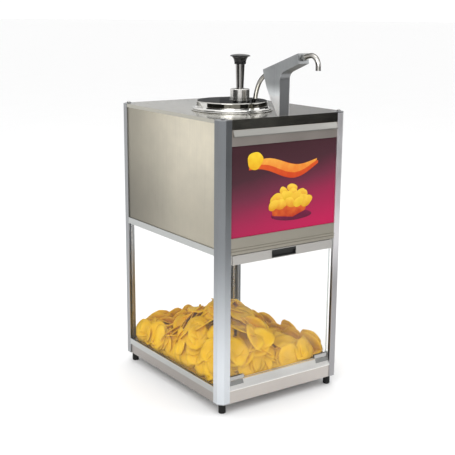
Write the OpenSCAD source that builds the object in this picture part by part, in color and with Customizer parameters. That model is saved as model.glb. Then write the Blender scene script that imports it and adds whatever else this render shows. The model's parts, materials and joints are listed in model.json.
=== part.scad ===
// Counter-top dispenser: a heated well with a hand pump above, a lit sign in front, and a
// clear chip bin with a drop-down door below. Millimetres, +Z up, front towards -Y.

/* [Cabinet] */
// Width over the corner posts
cab_w = 348; // [330:1:420]
// Depth over the corner posts
cab_d = 434; // [430:1:520]
// Height of the corner posts
post_h = 641; // [636:1:720]
// Height of the rubber feet under the posts
foot_h = 25; // [18:1:30]
// Width of each leg of a corner post
post_leg = 27; // [25:1:34]
// Width of the flat along the outside corner of a post, on each side
post_c = 11.5; // [6:0.5:12]
// Wall thickness of the extrusions
wall = 2.5; // [2:0.1:3]
// Thickness of the folded sheet metal
sheet = 1.2; // [0.8:0.1:1.5]
// Thickness of the clear panels
clear_t = 3; // [2:0.5:3]

/* [Levels above the feet] */
// Height of the skirt of the base pan
skirt_h = 29.7; // [27:0.1:34]
// Underside of the rails along the bottom
low_rail_z = 24.4; // [20:0.1:26]
// Underside of the rails at mid height
mid_rail_z = 344; // [320:1:349]
// Height of a side or rear rail
rail_h = 15.1; // [14:0.1:18]
// Underside of the rail below the sign
sign_low_z = 346; // [346:1:353]
// Height of the rail below the sign
sign_low_h = 37; // [32:1:44]
// Underside of the rail above the sign
sign_top_z = 584; // [549:1:589]
// Height of the rail above the sign
sign_top_h = 35; // [30:1:36]

/* [Door] */
// Thickness of the clear door panel
door_t = 4; // [3:0.5:4]
// Top of the door
door_top = 344; // [320:1:344]
// Height of the rail along the top of the door
door_rail_h = 21; // [18:1:26]
// Width of the finger pull
pull_w = 68; // [50:1:90]

/* [Well and jar] */
// Well centre from the middle of the cabinet, left or right
well_x = -30; // [-40:1:20]
// Well centre from the middle of the cabinet, front or back
well_y = -50; // [-54:1:-40]
// Inside radius of the well
well_r = 85; // [84:0.5:86]
// Depth of the well below the top cover
well_depth = 195; // [190:1:220]
// Outside radius of the food jar
jar_r = 78.5; // [76:0.5:79]
// Height of the food jar
jar_h = 178; // [160:1:180]

/* [Pump] */
// Radius of the drum of the lid
lid_r = 82; // [81:0.5:83]
// Height of the lid above the top cover
lid_h = 22; // [22:1:30]
// Pump axis from the well centre, left or right
pump_dx = 16; // [10:1:20]
// Pump axis from the well centre, front or back
pump_dy = -8; // [-12:1:0]
// Exposed length of the plunger tube
shaft_len = 56; // [50:1:60]
// Radius of the plunger tube at the collar
shaft_r = 8.5; // [8:0.5:9.5]
// Radius of the plunger tube under the knob
shaft_top_r = 10.5; // [9.5:0.5:11]
// Radius of the knob
knob_r = 23; // [20:0.5:28]
// Height of the knob
knob_h = 22.5; // [20:0.5:30]
// Radius of the lock collar
collar_r = 22.5; // [22.5:0.5:26]
// Height of the lock collar
collar_h = 24; // [20:1:28]
// Inside radius of the pump cylinder
bore_r = 17.5; // [16:0.5:17.5]

/* [Arm and spout] */
// Middle of the arm, left or right
arm_x = -2; // [-2:0.5:4]
// Width of the arm
arm_w = 28; // [28:1:40]
// Outside radius of the discharge tube
tube_r = 5; // [4:0.5:5]
// Outside radius of the spout
spout_r = 5.5; // [5:0.5:6]
// Straight length of the spout before it turns down
spout_run = 7; // [6:1:16]
// Bend radius of the spout where it turns down
spout_bend = 22; // [16:1:24]
// Straight length of the spout below its bend
spout_drop = 8; // [6:1:20]

/* [Rear controls] */
// Thermostat position, left or right
dial_x = -80; // [-110:1:-50]
// Radius of the thermostat knob
dial_r = 19; // [14:1:24]
// Power switch position, left or right
switch_x = 0; // [-10:1:30]
// Pilot light position, left or right
pilot_x = 60; // [50:1:80]
// Height of the controls above the feet
control_z = 529; // [509:1:549]
// Cord gland position, left or right
gland_x = 120; // [90:1:130]
// Radius of the hole in the cord gland
gland_r = 4.2; // [3:0.1:5]

/* [Hidden] */
$fn = 64;

// Fits: a gap between fixed pieces, the play of a panel in its slot, a running fit,
// and a lift-out gap between the pump and what it rests on
gap = 0.2;
slot_play = 0.4;
running = 0.05;
lift_gap = 0.3;
// Cutting bodies run past the faces they cut by this much
past = 1;

// Outside of the frame, and its lowest and highest levels
x_out = cab_w / 2;
y_out = cab_d / 2;
z_low = foot_h;
z_top = foot_h + post_h;
// Clear widths between the posts
open_w = cab_w - 2 * post_leg;
open_d = cab_d - 2 * post_leg;

// Panel slots of the extrusions
slot_w = clear_t + slot_play;
slot_grip = 10;
lip_t = 1.6;
web_t = 2;
rail_wall = wall - gap;
rail_in = wall + slot_w + lip_t + 0.5;
panel_w = open_w + 2 * slot_grip - 1;
panel_d = open_d + 2 * slot_grip - 1;
rail_web_mid = 6.5;
rail_web_low = skirt_h - low_rail_z;
shelf_ledge = 12;
shelf_ledge_v = 2;
shelf_z = z_low + mid_rail_z + shelf_ledge_v + web_t;
panel_top = z_top - 2 - gap;
steel_low = z_low + mid_rail_z + rail_web_mid + web_t + gap;

// Ends of the posts and the rods that clamp them
cap_t = 2;
rod_r = 3;
rod_in = 13.5;
rod_up = 3;
nut_h = 5;

// Feet
foot_in = 18.7;
foot_r = 8.3;
foot_stud_r = 3;
foot_stud_h = 9;
foot_edge = 1;

// Base pan
pan_front = y_out - 1;
pan_side = x_out - wall;
pan_rear = y_out - wall;
pan_return = 40;
corner_clear = post_leg + gap;

// Front ledge under the door
ledge_top = 20.3;
ledge_back = 17;
ledge_face = 1.5;
ledge_slope_y = 8;
ledge_z = z_low + skirt_h;
ledge_angle = atan(ledge_slope_y / (ledge_top - ledge_face));

// Rails around the sign
sign_face = 0.5;
sign_slot = slot_play - 0.1 + clear_t;
sign_grip = 8;
sign_flange = 18;
sign_rib = 1.5;
awning = 5.5;
hood_gap = 3;
fold_z = z_low + sign_top_z + sign_top_h;

// Door
door_gap = 5;
door_w = open_w - 2 * door_gap;
door_y = -y_out + 7;
hinge_y = door_y + door_t / 2;
hinge_z = ledge_z + ledge_top + 7;
door_low = hinge_z - 4.4;
rail_front = -y_out + 1;
rail_back = door_y + door_t + 3;
pull_z = z_low + door_top - door_rail_h / 2;
pull_h = 17;
pull_deep = 4.6;
shoe_l = 38;
shoe_h = 9;
shoe_t = 1.2;
pin_r = 2.5;
bracket_t = 4;

// Well, jar and lid
well_t = 1;
well_rim = 9;
rim_h = 2.5;
jar_t = 0.8;
jar_z = z_top - well_depth + sheet;
lid_z = z_top + rim_h + lift_gap;
lid_top = z_top + lid_h;
lid_t = 1.5;

// Pump
pump_x = well_x + pump_dx;
pump_y = well_y + pump_dy;
cyl_wall = 2.5;
cyl_low = z_top - 156;
flange_t = 2;
collar_z = lid_top + flange_t;
collar_top = collar_z + collar_h;
knob_z = collar_top + shaft_len;
knob_top = knob_z + knob_h;
knob_socket = 3;
piston_z = cyl_low + 88;
piston_h = 12;
seal_w = 4;
rod_top = knob_top - 7;
shaft_low = piston_z + 42;
plunger_rod_r = 4;
spring_r = 13;
spring_wire = 1.1;
spring_turns = 7;

// Valve body under the cylinder
valve_r = 22;
valve_low = cyl_low - 22;
valve_socket = 6;
seat_z = valve_low + 6;
ball_r = 6;
seat_r = 5;
out_seat_z = valve_low + 19;
out_ball_r = 4.5;
out_seat_r = 3.5;
out_top_z = valve_low + 30;
boss_r = 9;
boss_top = valve_low + 42;
seat_gap = 0.1;

// Discharge tube: up through the lid, forward in two bends, then straight along the arm
tube_bore = tube_r - 1;
tube_y = well_y - 50;
bend1_r = 100;
bend1_a = 28;
bend2_r = 57;
arm_a = 71.6;
bend1_z = z_top + 11;
p1 = [tube_y - bend1_r * (1 - cos(bend1_a)), bend1_z + bend1_r * sin(bend1_a)];
arm_dir = [-sin(arm_a), cos(arm_a)];
p2 = p1 + bend2_r * [-(cos(bend1_a) - cos(arm_a)), sin(arm_a) - sin(bend1_a)];
arm_tip_y = well_y - 216;
tube_run = (p2[0] - arm_tip_y) / sin(arm_a);
p3 = p2 + tube_run * arm_dir;
spout_bore = spout_r - 1.5;
// Spout: out of the nut along the arm, a slight bend, a short run, then down
spout_lead = 14.5;
lead_bend = 40;
spout_a = 81;
q1 = p3 + spout_lead * arm_dir;
q2 = q1 + lead_bend * [-(cos(arm_a) - cos(spout_a)), sin(spout_a) - sin(arm_a)];
spout_dir = [-sin(spout_a), cos(spout_a)];
p4 = q2 + spout_run * spout_dir;
p5 = p4 + spout_bend * [-(cos(spout_a) + 1), -sin(spout_a)];
gland_lift = 6;
// Stretches of pipe stop this far short of each other, and a weld this thick joins them
seam = 0.001;
weld_t = 0.5;

// Arm outline, side view as [y, z]
arm_base_z = z_top + lift_gap;
arm_front = well_y - 158;
arm_front_top = [arm_front, z_top + 91];
arm_rear_points = [
    [arm_front + 7, arm_base_z], [well_y - 137.5, z_top + 21.5], [well_y - 127.1, z_top + 32.9],
    [well_y - 111.1, z_top + 59.3], [well_y - 98.7, z_top + 90.7], [well_y - 97.2, z_top + 96.7],
];
arm_tip_top = [arm_tip_y - 2.4, z_top + 137];
arm_tip_low = [arm_tip_y - 5.6, z_top + 115.2];
arm_fillet = 20;
arm_fillet_n = 12;
arm_t = sheet;

// Rear controls
rear_face = y_out - wall - 0.05;
rear_in = rear_face - sheet;
ctl_z = z_low + control_z;
dial_back = rear_face + 20.5;
gland_z = z_low + 375;
rocker_rest = 8;
rocker_y = rear_face - 4.5;

// The frame's origin is under the middle of the whole object, from the spout to the dial
front_reach = p5[0] - spout_r;
shift_y = -(front_reach + dial_back) / 2;

// ---------------------------------------------------------------- helpers

// Moves a module from the cabinet's middle to the object's own origin
module placed() {
    translate([0, shift_y, 0]) children();
}

// One child for each corner of the cabinet, drawn from that corner inwards
module each_corner() {
    for (mx = [0, 1])
        for (my = [0, 1])
            corner(mx, my) children();
}

module corner(mx, my) {
    mirror([mx, 0, 0])
        mirror([0, my, 0])
            translate([-x_out, -y_out, 0]) children();
}

// Extrudes a [y, z] outline along X, centred
module along_x(length) {
    rotate([90, 0, 90])
        linear_extrude(length, center = true) children();
}

// Extrudes an [x, z] outline along Y, centred
module along_y(length) {
    rotate([90, 0, 0])
        linear_extrude(length, center = true) children();
}

// A box from its lowest corner to its highest
module span(low, high) {
    translate(low) cube(high - low);
}

// A round bar along +Y
module bar_y(r, y0, y1, sides = 64) {
    translate([0, y0, 0])
        rotate([-90, 0, 0]) cylinder(r = r, h = y1 - y0, $fn = sides);
}

// Points on an arc
function arc_points(centre, r, a0, a1, n) =
    [for (i = [0:n]) centre + r * [cos(a0 + (a1 - a0) * i / n), sin(a0 + (a1 - a0) * i / n)]];

function unit(v) = v / norm(v);

// Inward normal of the edge that leaves point i of a counter-clockwise outline
function inward(points, i) =
    let (d = unit(points[(i + 1) % len(points)] - points[i])) [-d[1], d[0]];

// The same outline moved inwards by t
function inset(points, t) =
    [for (i = [0:len(points) - 1])
        let (a = inward(points, (i + len(points) - 1) % len(points)), b = inward(points, i))
            points[i] + t * (a + b) / (1 + a * b)];

// A bar in the YZ plane from point p, heading a degrees from +Z towards -Y
module straight(p, length, a, r, sides = 64) {
    translate([arm_x, p[0], p[1]])
        rotate([a, 0, 0]) cylinder(r = r, h = length, $fn = sides);
}

// A straight stretch of pipe in the YZ plane
module pipe(p, length, a, r, bore) {
    start = p - past * [-sin(a), cos(a)];
    difference() {
        straight(p, length, a, r);
        straight(start, length + 2 * past, a, bore);
    }
}

// A bend of a pipe in the YZ plane. It starts at point p, heading a0 degrees from +Z
// towards -Y, and turns to a1.
module pipe_bend(p, bend_r, a0, a1, r, bore) {
    translate([arm_x, p[0] - bend_r * cos(a0), p[1] - bend_r * sin(a0)])
        rotate([90, 0, 90])
            rotate([0, 0, a0])
                rotate_extrude(angle = a1 - a0)
                    translate([bend_r, 0])
                        difference() {
                            circle(r = r);
                            circle(r = bore);
                        }
}

// The weld inside the wall that joins two stretches of pipe at point p
module pipe_weld(p, a, r, bore) {
    middle = (r + bore) / 2;
    dir = [-sin(a), cos(a)];
    translate([arm_x, p[0] - dir[0], p[1] - dir[1]])
        rotate([a, 0, 0])
            rotate_extrude() translate([middle - weld_t / 2, 0]) square([weld_t, 2]);
}

// ---------------------------------------------------------------- frame

module post_profile() {
    inner_c = post_c + wall * (sqrt(2) - 1);
    polygon([
        [post_c, 0], [post_leg, 0], [post_leg, wall], [inner_c, wall],
        [wall, inner_c], [wall, post_leg], [0, post_leg], [0, post_c],
    ]);
    slot_lip();
    mirror([1, -1]) slot_lip();
}

// The lip that makes a panel slot behind one leg of a post
module slot_lip() {
    root = post_leg - slot_grip - web_t;
    translate([root, wall]) square([web_t, slot_w + lip_t]);
    translate([root, wall + slot_w]) square([post_leg - root, lip_t]);
}

module post(mx, my) {
    color("silver")
        corner(mx, my)
            translate([0, 0, z_low + cap_t])
                linear_extrude(post_h - 2 * cap_t) post_profile();
}

module post_front_left() {
    post(0, 0);
}

module post_front_right() {
    post(1, 0);
}

module post_rear_left() {
    post(0, 1);
}

module post_rear_right() {
    post(1, 1);
}

// Plates that close both ends of each post. The rod goes through both, the foot's stud
// through the lower one.
module post_caps() {
    color("silver")
        each_corner() {
            post_cap(z_top - cap_t);
            difference() {
                post_cap(z_low);
                translate([foot_in, foot_in, z_low - past])
                    cylinder(r = foot_stud_r + gap, h = cap_t + 2 * past);
            }
        }
}

module post_cap(z) {
    translate([0, 0, z])
        linear_extrude(cap_t)
            difference() {
                polygon([
                    [post_c, 0], [post_leg, 0], [post_leg, post_leg],
                    [0, post_leg], [0, post_c],
                ]);
                translate([rod_in, rod_in]) circle(r = rod_r);
            }
}

// Dome nuts on the tops of the rods
module cap_nuts() {
    skirt = 2;
    dome_r = 4.6;
    color("silver")
        each_corner()
            translate([rod_in, rod_in, z_top])
                difference() {
                    union() {
                        cylinder(r = dome_r + 0.9, h = skirt, $fn = 6);
                        translate([0, 0, skirt])
                            rotate_extrude()
                                polygon(concat([[0, 0]], arc_points([0, 0], 1, 0, 90, 12)
                                    * [[dome_r, 0], [0, nut_h - skirt]]));
                    }
                    translate([0, 0, -past]) cylinder(r = rod_r, h = rod_up + past);
                }
}

// Rods inside the posts that clamp cap to cap
module tie_rods() {
    color("gray")
        each_corner()
            translate([rod_in, rod_in, z_low]) cylinder(r = rod_r, h = post_h + rod_up);
}

module feet() {
    color("#1a1a1a")
        each_corner()
            translate([foot_in, foot_in, 0]) {
                rotate_extrude()
                    polygon([
                        [0, 0], [foot_r - foot_edge, 0], [foot_r, foot_edge],
                        [foot_r, foot_h - foot_edge], [foot_r - foot_edge / 2, foot_h],
                        [0, foot_h],
                    ]);
                translate([0, 0, foot_h]) cylinder(r = foot_stud_r, h = foot_stud_h);
            }
}

// Folded pan: bin floor on top, skirts all round, and a return flange round its open underside
module base_pan() {
    color("#b8b4ae")
        difference() {
            span([-pan_side, -pan_front, z_low], [pan_side, pan_rear, z_low + skirt_h]);
            span([-pan_side + sheet, -pan_front + sheet, z_low + sheet],
                [pan_side - sheet, pan_rear - sheet, z_low + skirt_h - sheet]);
            span([-pan_side + pan_return, -pan_front + pan_return, z_low - past],
                [pan_side - pan_return, pan_rear - pan_return, z_low + sheet + past]);
            each_corner()
                span([-past, -past, z_low - past],
                    [corner_clear, corner_clear, z_low + skirt_h + past]);
        }
}

// Extruded ledge under the door: a sloped front, a flat top and a leg down to the pan
module front_ledge() {
    t = web_t;
    color("#d4d4d4")
        translate([0, -y_out, ledge_z])
            along_x(open_w)
                polygon([
                    [0, 0], [t, 0], [t, ledge_face], [ledge_slope_y + t / 2, ledge_top - t],
                    [ledge_back - t, ledge_top - t], [ledge_back - t, 0], [ledge_back, 0],
                    [ledge_back, ledge_top], [ledge_slope_y, ledge_top], [0, ledge_face],
                ]);
}

// Side or rear rail, outer face at 0 and inwards along the first axis
module rail_profile(web_v, low_wall) {
    slot_edge = wall + slot_w;
    square([rail_wall, rail_h]);
    translate([0, web_v]) square([rail_in, web_t]);
    translate([slot_edge, low_wall]) square([rail_in - slot_edge, rail_h - low_wall]);
}

module mid_rail_profile() {
    rail_profile(rail_web_mid, 0);
    translate([rail_in, shelf_ledge_v]) square([shelf_ledge, web_t]);
}

module both_sides() {
    for (m = [0, 1])
        mirror([m, 0, 0]) translate([-x_out, 0, 0]) children();
}

module low_side_rails() {
    color("silver")
        both_sides()
            translate([0, 0, z_low + low_rail_z])
                along_y(open_d) rail_profile(rail_web_low, rail_web_low);
}

module mid_side_rails() {
    color("silver")
        both_sides()
            translate([0, 0, z_low + mid_rail_z]) along_y(open_d) mid_rail_profile();
}

module low_rail_rear() {
    color("silver")
        translate([0, y_out, z_low + low_rail_z])
            along_x(open_w) mirror([1, 0]) rail_profile(rail_web_low, rail_web_low);
}

module mid_rail_rear() {
    color("silver")
        translate([0, y_out, z_low + mid_rail_z])
            along_x(open_w) mirror([1, 0]) mid_rail_profile();
}

// Rail under the sign, with two ribs above the door
module sign_bottom_rail() {
    t = web_t;
    back = t + sign_slot;
    slot_v = sign_low_h - sign_grip;
    color("#9a958f")
        translate([0, -y_out + sign_face, z_low + sign_low_z])
            along_x(open_w) {
                square([t, sign_low_h]);
                translate([0, slot_v - t]) square([back + t, t]);
                translate([back, slot_v - t]) square([t, sign_grip + t]);
                square([sign_flange, t]);
                for (v = [3.5, 9.5])
                    translate([-sign_rib, v]) square([sign_rib, 3.5]);
            }
}

// Rail over the sign, with a slanted hood along its top
module sign_top_rail() {
    t = web_t;
    back = t + sign_slot;
    hood_v = sign_top_h - 15;
    color("#9a958f")
        translate([0, -y_out + sign_face, z_low + sign_top_z])
            along_x(open_w) {
                square([t, sign_top_h]);
                translate([0, sign_grip]) square([back + t, t]);
                translate([back, 0]) square([t, sign_grip + t]);
                translate([0, sign_top_h - t]) square([14, t]);
            }
    color("#c9c8c4")
        translate([0, -y_out + sign_face, z_low + sign_top_z])
            along_x(open_w - 2 * hood_gap)
                polygon([[0, sign_top_h], [-awning, hood_v + t], [-awning, hood_v], [0, hood_v]]);
}

module sign_panel() {
    low = z_low + sign_low_z + sign_low_h - sign_grip + gap;
    high = z_low + sign_top_z + sign_grip - gap;
    face = -y_out + wall + 0.1;
    color("#7a2048")
        span([-panel_w / 2, face, low], [panel_w / 2, face + clear_t, high]);
}

clear_low = z_low + skirt_h + web_t + gap;
clear_high = z_low + mid_rail_z + rail_web_mid - gap;

module clear_side_panels() {
    inset_x = wall + 0.1;
    color("azure", 0.35)
        both_sides()
            span([inset_x, -panel_d / 2, clear_low],
                [inset_x + clear_t, panel_d / 2, clear_high]);
}

module clear_panel_rear() {
    face = y_out - wall - 0.1;
    color("azure", 0.35)
        span([-panel_w / 2, face - clear_t, clear_low], [panel_w / 2, face, clear_high]);
}

module side_panel(m) {
    inset_x = wall + 0.05;
    color("#b9b5a8")
        mirror([m, 0, 0])
            translate([-x_out, 0, 0])
                span([inset_x, -panel_d / 2, steel_low], [inset_x + sheet, panel_d / 2, panel_top]);
}

module side_panel_left() {
    side_panel(0);
}

module side_panel_right() {
    side_panel(1);
}

// Rear sheet with the openings for the controls, the cord gland and a row of air slots
module rear_panel() {
    slots = 9;
    slot_pitch = 18;
    color("#b9b5a8")
        difference() {
            span([-panel_w / 2, rear_in, steel_low], [panel_w / 2, rear_face, panel_top]);
            translate([dial_x, 0, ctl_z]) bar_y(5 + gap, rear_in - past, rear_face + past);
            translate([pilot_x, 0, ctl_z]) bar_y(5 + gap, rear_in - past, rear_face + past);
            translate([gland_x, 0, gland_z]) bar_y(8 + gap, rear_in - past, rear_face + past);
            span([switch_x - 9.5 - gap, rear_in - past, ctl_z - 13.5 - gap],
                [switch_x + 9.5 + gap, rear_face + past, ctl_z + 13.5 + gap]);
            for (i = [0:slots - 1])
                translate([(i - (slots - 1) / 2) * slot_pitch, 0, z_top - 50])
                    span([-2.5, rear_in - past, 0], [2.5, rear_face + past, 26]);
        }
}

// Top sheet with folds down all four sides, open round the well and cut back at the posts
module top_cover() {
    side = x_out - 0.4;
    rear = y_out - 0.6;
    rear_fold = 16;
    side_fold = 7;
    plate_z = z_top - sheet;
    color("#a8a49c")
        difference() {
            union() {
                span([-side, -y_out, plate_z], [side, rear, z_top]);
                span([-side, -y_out, fold_z], [side, -y_out + sheet, plate_z]);
                span([-side, rear - sheet, plate_z - rear_fold], [side, rear, plate_z]);
                for (m = [0, 1])
                    mirror([m, 0, 0])
                        span([-side, -y_out, plate_z - side_fold], [-side + sheet, rear, plate_z]);
            }
            each_corner()
                span([-past, -past, fold_z - past],
                    [corner_clear, corner_clear, z_top + past]);
            translate([well_x, well_y, plate_z - past])
                cylinder(r = well_r + well_t + gap, h = sheet + 2 * past, $fn = 128);
        }
}

// Sheet between the heated upper part and the chip bin
module shelf_pan() {
    side = x_out - rail_in - gap;
    front = y_out - sign_face - web_t - gap;
    rear = y_out - rail_in - gap;
    color("#b8b4ae")
        difference() {
            span([-side, -front, shelf_z], [side, rear, shelf_z + sheet]);
            each_corner()
                span([-past, -past, shelf_z - past],
                    [corner_clear, corner_clear, shelf_z + sheet + past]);
        }
}

// Spring clips on the posts that hold the door's top corners
module door_catches() {
    low = z_low + door_top - door_rail_h - 4;
    high = z_low + door_top + 1;
    y0 = -y_out + 1;
    clip_w = 7.5;
    bump_r = 2.4;
    edge_x = -open_w / 2;
    color("#8c8a86")
        for (m = [0, 1])
            mirror([m, 0, 0]) {
                span([edge_x, y0, low], [edge_x + sheet, y0 + clip_w, high]);
                intersection() {
                    translate([edge_x + sheet, y0 + clip_w / 2, low])
                        cylinder(r = bump_r, h = high - low);
                    span([edge_x, y0, low], [edge_x + sheet + bump_r, y0 + clip_w, high]);
                }
            }
}

// Plates on the slope of the ledge, each with an ear that carries the door's pin
module hinge_brackets() {
    plate_t = 1.5;
    plate_l = 10;
    slope_l = norm([ledge_slope_y, ledge_top - ledge_face]);
    ear_x = open_w / 2 - bracket_t;
    top_z = ledge_z + ledge_top;
    color("#a9a9a9")
        for (m = [0, 1])
            mirror([m, 0, 0])
                difference() {
                    union() {
                        translate([0, -y_out, ledge_z + ledge_face])
                            rotate([-ledge_angle, 0, 0])
                                span([ear_x + 2 - shoe_l, -plate_t, slope_l - plate_l],
                                    [ear_x + 2, 0, slope_l]);
                        span([ear_x, hinge_y - 4.5, top_z], [open_w / 2, hinge_y + 5, hinge_z + 5]);
                    }
                    translate([ear_x - past, hinge_y, hinge_z])
                        rotate([0, 90, 0])
                            cylinder(r = pin_r + running, h = bracket_t + 2 * past);
                }
}

// ---------------------------------------------------------------- door

module door_panel() {
    top = z_low + door_top - 9;
    color("azure", 0.35)
        span([-door_w / 2, door_y, door_low], [door_w / 2, door_y + door_t, top]);
}

// Rail that grips the top edge of the panel, with a pocket for the finger pull
module door_top_rail() {
    top = z_low + door_top;
    low = top - door_rail_h;
    color("silver")
        difference() {
            span([-door_w / 2, rail_front, low], [door_w / 2, rail_back, top]);
            span([-door_w / 2 - past, door_y - 0.1, low - past],
                [door_w / 2 + past, door_y + door_t + 0.1, top - 9 + 0.1]);
            span([-pull_w / 2 - 0.1, rail_front - past, pull_z - pull_h / 2 - 0.1],
                [pull_w / 2 + 0.1, rail_front + pull_deep, pull_z + pull_h / 2 + 0.1]);
        }
}

// Moulded cup with a lip to hook a finger under
module door_pull() {
    rim = 2;
    back = 1;
    lip = 3;
    color("#202020")
        difference() {
            span([-pull_w / 2, rail_front - 1, pull_z - pull_h / 2],
                [pull_w / 2, rail_front + pull_deep, pull_z + pull_h / 2]);
            span([-pull_w / 2 + rim, rail_front - 1 - past, pull_z - pull_h / 2 + rim],
                [pull_w / 2 - rim, rail_front + pull_deep - back, pull_z + pull_h / 2 - rim - lip]);
            span([-pull_w / 2 + rim, rail_front + 1, pull_z + pull_h / 2 - rim - lip - past],
                [pull_w / 2 - rim, rail_front + pull_deep - back, pull_z + pull_h / 2 - rim]);
        }
}

// Channels on the bottom corners of the panel, with the hinge pins
module door_shoes() {
    low = hinge_z - 5;
    y0 = door_y - shoe_t;
    y1 = door_y + door_t + shoe_t;
    color("#a9a9a9")
        for (m = [0, 1])
            mirror([m, 0, 0])
                difference() {
                    union() {
                        span([door_w / 2 - shoe_l, y0, low], [door_w / 2, y1, low + shoe_h]);
                        translate([door_w / 2 - past, hinge_y, hinge_z])
                            rotate([0, 90, 0]) cylinder(r = pin_r, h = bracket_t + past);
                    }
                    span([door_w / 2 - shoe_l - past, door_y, door_low],
                        [door_w / 2, door_y + door_t, low + shoe_h + past]);
                }
}

// ---------------------------------------------------------------- sign lamp

lamp_x = 0;
lamp_y = -y_out + 42;
lamp_z = shelf_z + sheet;
socket_h = 30;
cap_in = 18;
cap_r = 12.5;

module lampholder() {
    color("#e8e4dc")
        translate([lamp_x, lamp_y, lamp_z])
            difference() {
                cylinder(r = 17, h = socket_h);
                translate([0, 0, socket_h - cap_in])
                    cylinder(r = cap_r, h = cap_in + past);
            }
}

module sign_lamp() {
    bulb_r = 24;
    bulb_h = 68;
    color("#f6f2e4")
        translate([lamp_x, lamp_y, lamp_z + socket_h - cap_in]) {
            cylinder(r = cap_r, h = cap_in);
            translate([0, 0, cap_in])
                rotate_extrude()
                    polygon(concat(
                        [[0, 0], [cap_r, 0], [cap_r + 1, 8]],
                        arc_points([0, bulb_h - bulb_r], bulb_r, -35, 90, 14)));
        }
}

// ---------------------------------------------------------------- well and jar

// Deep well hung by its rim on the top cover
module well_vessel() {
    outer = well_r + well_t;
    low = z_top - well_depth;
    rim_top = z_top + rim_h;
    rim = well_r + well_rim;
    color("#cfcdc8")
        translate([well_x, well_y, 0])
            rotate_extrude($fn = 128)
                polygon([
                    [0, low], [outer, low], [outer, z_top], [rim - 1, z_top],
                    [rim, z_top + 1], [rim, rim_top - 0.8], [rim - 0.8, rim_top],
                    [well_r, rim_top], [well_r, low + sheet], [0, low + sheet],
                ]);
}

// Clamp band with its two lugs and terminal box
module well_heater() {
    inner = well_r + well_t + 0.1;
    band_z = z_top - well_depth + 10;
    band_h = 45;
    color("#8f7f68")
        translate([well_x, well_y, band_z])
            difference() {
                union() {
                    cylinder(r = inner + 3.4, h = band_h, $fn = 128);
                    span([-9, inner - 2, 4], [9, inner + 14, band_h - 4]);
                }
                translate([0, 0, -past])
                    cylinder(r = inner, h = band_h + 2 * past, $fn = 128);
                span([-2, inner - 4, -past], [2, inner + 14 + past, band_h + past]);
            }
}

module food_jar() {
    bead = 1.5;
    top = jar_z + jar_h;
    color("#d6d4cf")
        translate([well_x, well_y, 0])
            rotate_extrude($fn = 128)
                polygon([
                    [0, jar_z], [jar_r, jar_z], [jar_r, top - 3], [jar_r + bead, top - 3],
                    [jar_r + bead, top], [jar_r - jar_t, top], [jar_r - jar_t, jar_z + jar_t],
                    [0, jar_z + jar_t],
                ]);
}

// ---------------------------------------------------------------- pump

// Pressed lid: a rolled flange, a step and a low drum with a rounded shoulder
module pump_lid() {
    in_r = lid_r - lid_t;
    shoulder = 3;
    color("#d9d7d2")
        difference() {
            translate([well_x, well_y, 0])
                rotate_extrude($fn = 128)
                    polygon(concat(
                        [
                            [in_r, lid_z], [lid_r + 8.5, lid_z], [lid_r + 9.5, lid_z + 1],
                            [lid_r + 9.5, lid_z + 2.2], [lid_r + 8.5, lid_z + 3.2],
                            [lid_r + 4, lid_z + 3.2], [lid_r + 3.2, lid_z + 4.7],
                            [lid_r + 2.5, lid_z + 7.7], [lid_r, lid_z + 8.7],
                        ],
                        arc_points([lid_r - shoulder, lid_top - shoulder], shoulder, 0, 90, 6),
                        [
                            [0, lid_top], [0, lid_top - lid_t],
                            [in_r - shoulder + 1, lid_top - lid_t], [in_r, lid_top - shoulder],
                        ]));
            translate([pump_x, pump_y, lid_z])
                cylinder(r = bore_r + cyl_wall + gap, h = lid_h + past);
            translate([arm_x, tube_y - 1.5, lid_z]) cylinder(r = tube_r + 1.5, h = lid_h + past);
        }
}

module pump_cylinder() {
    color("#cfcdc8")
        translate([pump_x, pump_y, 0])
            difference() {
                union() {
                    translate([0, 0, cyl_low])
                        cylinder(r = bore_r + cyl_wall, h = collar_z - cyl_low);
                    translate([0, 0, lid_top]) cylinder(r = collar_r + 1, h = flange_t);
                }
                translate([0, 0, cyl_low - past])
                    cylinder(r = bore_r, h = collar_z - cyl_low + 2 * past);
            }
}

// Screwed collar that guides the plunger tube
module lock_collar() {
    groove_z = 5.5;
    groove = 0.8;
    guide = 5;
    edge = 1.2;
    color("#dddbd6")
        translate([pump_x, pump_y, collar_z])
            difference() {
                rotate_extrude()
                    polygon([
                        [0, 0], [collar_r, 0], [collar_r, groove_z], [collar_r - groove, groove_z],
                        [collar_r - groove, groove_z + 1.2], [collar_r, groove_z + 1.2],
                        [collar_r, collar_h - edge], [collar_r - edge, collar_h], [0, collar_h],
                    ]);
                translate([0, 0, -past]) cylinder(r = bore_r, h = collar_h - guide + past);
                cylinder(r = shaft_top_r + running, h = collar_h + past);
            }
}

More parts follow.
